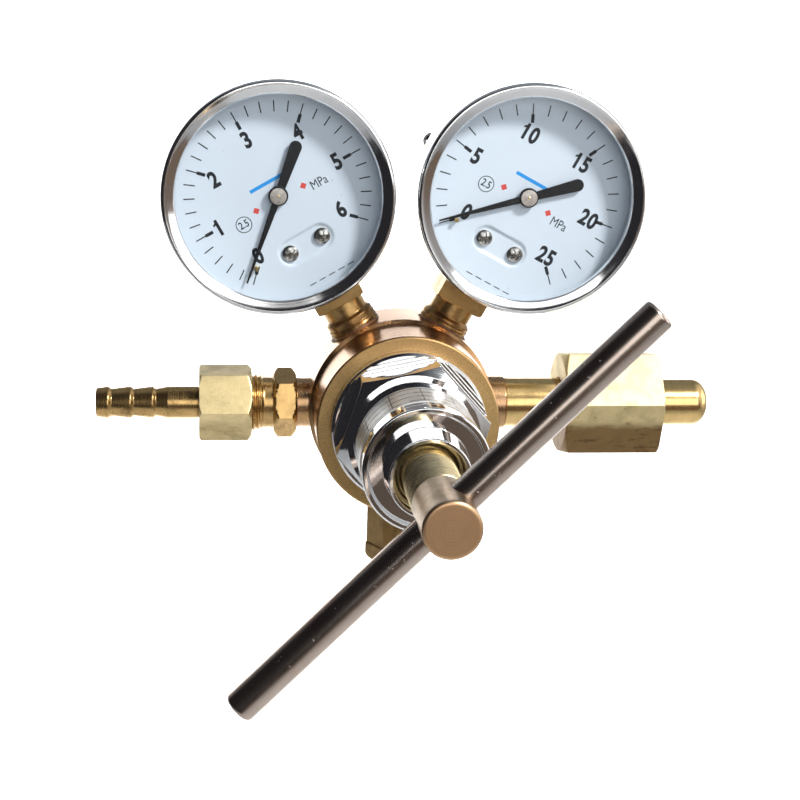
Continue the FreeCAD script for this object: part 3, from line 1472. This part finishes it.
def make_link(gauge):
    """Flat link from the sector's tail to the pin at the tube's end."""
    pivot_drop = value("gear_module * (pinion_teeth + sector_teeth) / 2")
    tail_angle = math.radians(value("sector_tail_angle"))
    end_angle = math.radians(value("tube_start + tube_sweep + tube_pin_turn"))
    rear = value("link_rear")
    near = point_at(value("sector_tail_length"), tail_angle, rear) - FreeCAD.Vector(0, pivot_drop, 0)
    far = point_at(value("tube_arc_radius"), end_angle, rear)
    thickness = value("link_thickness")
    half = value("link_half_width")
    link = bar_between(near, far, 2 * half, thickness)
    link = link.multiFuse([Part.makeCylinder(half, thickness, near), Part.makeCylinder(half, thickness, far)])
    hole = value("link_pin_radius + arbor_clearance")
    link = link.cut(Part.makeCylinder(hole, 3 * thickness, near - FreeCAD.Vector(0, 0, thickness)))
    link = link.cut(Part.makeCylinder(hole, 3 * thickness, far - FreeCAD.Vector(0, 0, thickness)))
    feature = document.addObject("Part::Feature", gauge.name("link_bar"))
    feature.Shape = link.removeSplitter()
    gauge.seat(feature)
    gauge.deliver(feature, "link")


def make_movement_frame(gauge):
    """Two plates held apart by three pillars, with bearing holes for both arbors."""
    half = "frame_width / 2"
    pivot = "-gear_module * (pinion_teeth + sector_teeth) / 2"
    outline = [(f"-{half}", "-frame_bottom"), (half, "-frame_bottom"), (half, "frame_top"),
               (f"-{half}", "frame_top")]
    front_low = "plate_rear + frame_thickness + plate_gap"
    plates = []
    for place, low in (("rear", "plate_rear"), ("front", front_low)):
        plate = padded(gauge.name(f"{place}_plate"), outline, low, f"{low} + frame_thickness")
        round_uprights(plate, "frame_width / 4")
        for number, up in enumerate(("0", pivot)):
            bore(plate, gauge.name(f"{place}_bearing_{number}"), "arbor_radius + arbor_clearance", low,
                 f"{low} + frame_thickness", "0", up)
        plates.append(gauge.seat(plate))
    pillars = []
    for right, up in ((f"-{half} + 1.6", "-frame_bottom + 3.4"), (f"{half} - 1.6", "-frame_bottom + 3.4"),
                      ("0", "frame_top - 1.6")):
        pillar = cylinder(gauge.name(f"pillar_{len(pillars)}"), "pillar_radius", "plate_gap")
        gauge.seat(pillar, right, up)
        pillar.setExpression("Placement.Base.y", bound("-plate_rear - frame_thickness"))
        pillars.append(pillar)
    gauge.deliver(fused(gauge.name("frame"), plates + pillars), "movement_frame")


def make_pointer(gauge):
    """Pointer with a tapered needle, a rounded counterweight tail and a hub."""
    tail_centre = "pointer_tail - pointer_tail_width / 2"
    needle = padded(gauge.name("needle"), [
        ("pointer_length", "-pointer_tip_width / 2"),
        ("pointer_length", "pointer_tip_width / 2"),
        ("0", "pointer_root_width / 2"),
        (f"-({tail_centre})", "pointer_tail_width / 2"),
        (f"-({tail_centre})", "-pointer_tail_width / 2"),
        ("0", "-pointer_root_width / 2"),
    ], "pointer_rear", "pointer_rear + pointer_thickness")
    gauge.seat_by_dial(needle, turn="dial_zero")
    tail = cylinder(gauge.name("tail"), "pointer_tail_width / 2", "pointer_thickness")
    gauge.seat_by_dial(tail, f"-({tail_centre}) * cos(dial_zero)", f"-({tail_centre}) * sin(dial_zero)")
    tail.setExpression("Placement.Base.y", bound("-pointer_rear"))
    hub = turned(gauge.name("hub"), [
        ("arbor_radius", "pointer_hub_rear"),
        ("pointer_hub_radius - small_bevel", "pointer_hub_rear"),
        ("pointer_hub_radius", "pointer_rear"),
        ("pointer_hub_radius", "pointer_hub_front - edge_break"),
        ("pointer_hub_radius - edge_break", "pointer_hub_front"),
        ("arbor_radius", "pointer_hub_front"),
    ])
    gauge.seat_by_dial(hub)
    blank = fused(gauge.name("pointer_blank"), [needle, tail, hub])
    arbor_hole = cylinder(gauge.name("arbor_hole"), "arbor_radius", "pointer_hub_front")
    gauge.seat_by_dial(arbor_hole)
    arbor_hole.setExpression("Placement.Base.y", bound("-0.5 * pointer_hub_rear"))
    gauge.deliver(cut_away(gauge.name("bored_pointer"), blank, [arbor_hole]), "pointer")


def make_gauge(side):
    """Every piece of one gauge."""
    gauge = Gauge(side)
    make_case(gauge)
    make_bezel(gauge)
    make_lens(gauge)
    make_dial(gauge)
    make_case_screws(gauge)
    make_socket(gauge)
    make_bourdon_tube(gauge)
    make_movement_frame(gauge)
    make_sector_gear(gauge)
    make_pinion(gauge)
    make_link(gauge)
    make_pointer(gauge)


# ---------------------------------------------------------------------------- finishing

def check_and_write():
    """Stop on any failed feature or bad shape, then write one file for each sub-part."""
    document.recompute()
    for item in document.Objects:
        if "Invalid" in item.State or "Error" in item.State:
            raise ValueError(f"{item.Name} failed: {item.State}")
    for item in pieces:
        if item.Shape.isNull() or not item.Shape.isValid():
            raise ValueError(f"{item.Label} has a bad shape")
    os.makedirs("parts", exist_ok=True)
    for item in pieces:
        item.Shape.exportStep(f"parts/{item.Label}.step")
        print(f"{item.Label}: {item.Shape.Volume:.1f} mm3, {len(item.Shape.Solids)} solids")


def main():
    """Build every sub-part, from the body outwards."""
    fill_sheet()
    make_body()
    make_bonnet()
    make_label_band()
    make_diaphragm()
    make_adjusting_screw()
    make_tee_bar()
    make_spring_button()
    make_main_spring()
    make_diaphragm_plate()
    make_push_pin()
    make_nozzle()
    make_poppet()
    make_rear_plug()
    make_poppet_spring()
    make_inlet_stem()
    make_inlet_nipple()
    make_inlet_nut()
    make_outlet_adapter()
    make_outlet_nut()
    make_hose_barb()
    make_relief_valve()
    make_gauge("low")
    make_gauge("high")
    check_and_write()


main()
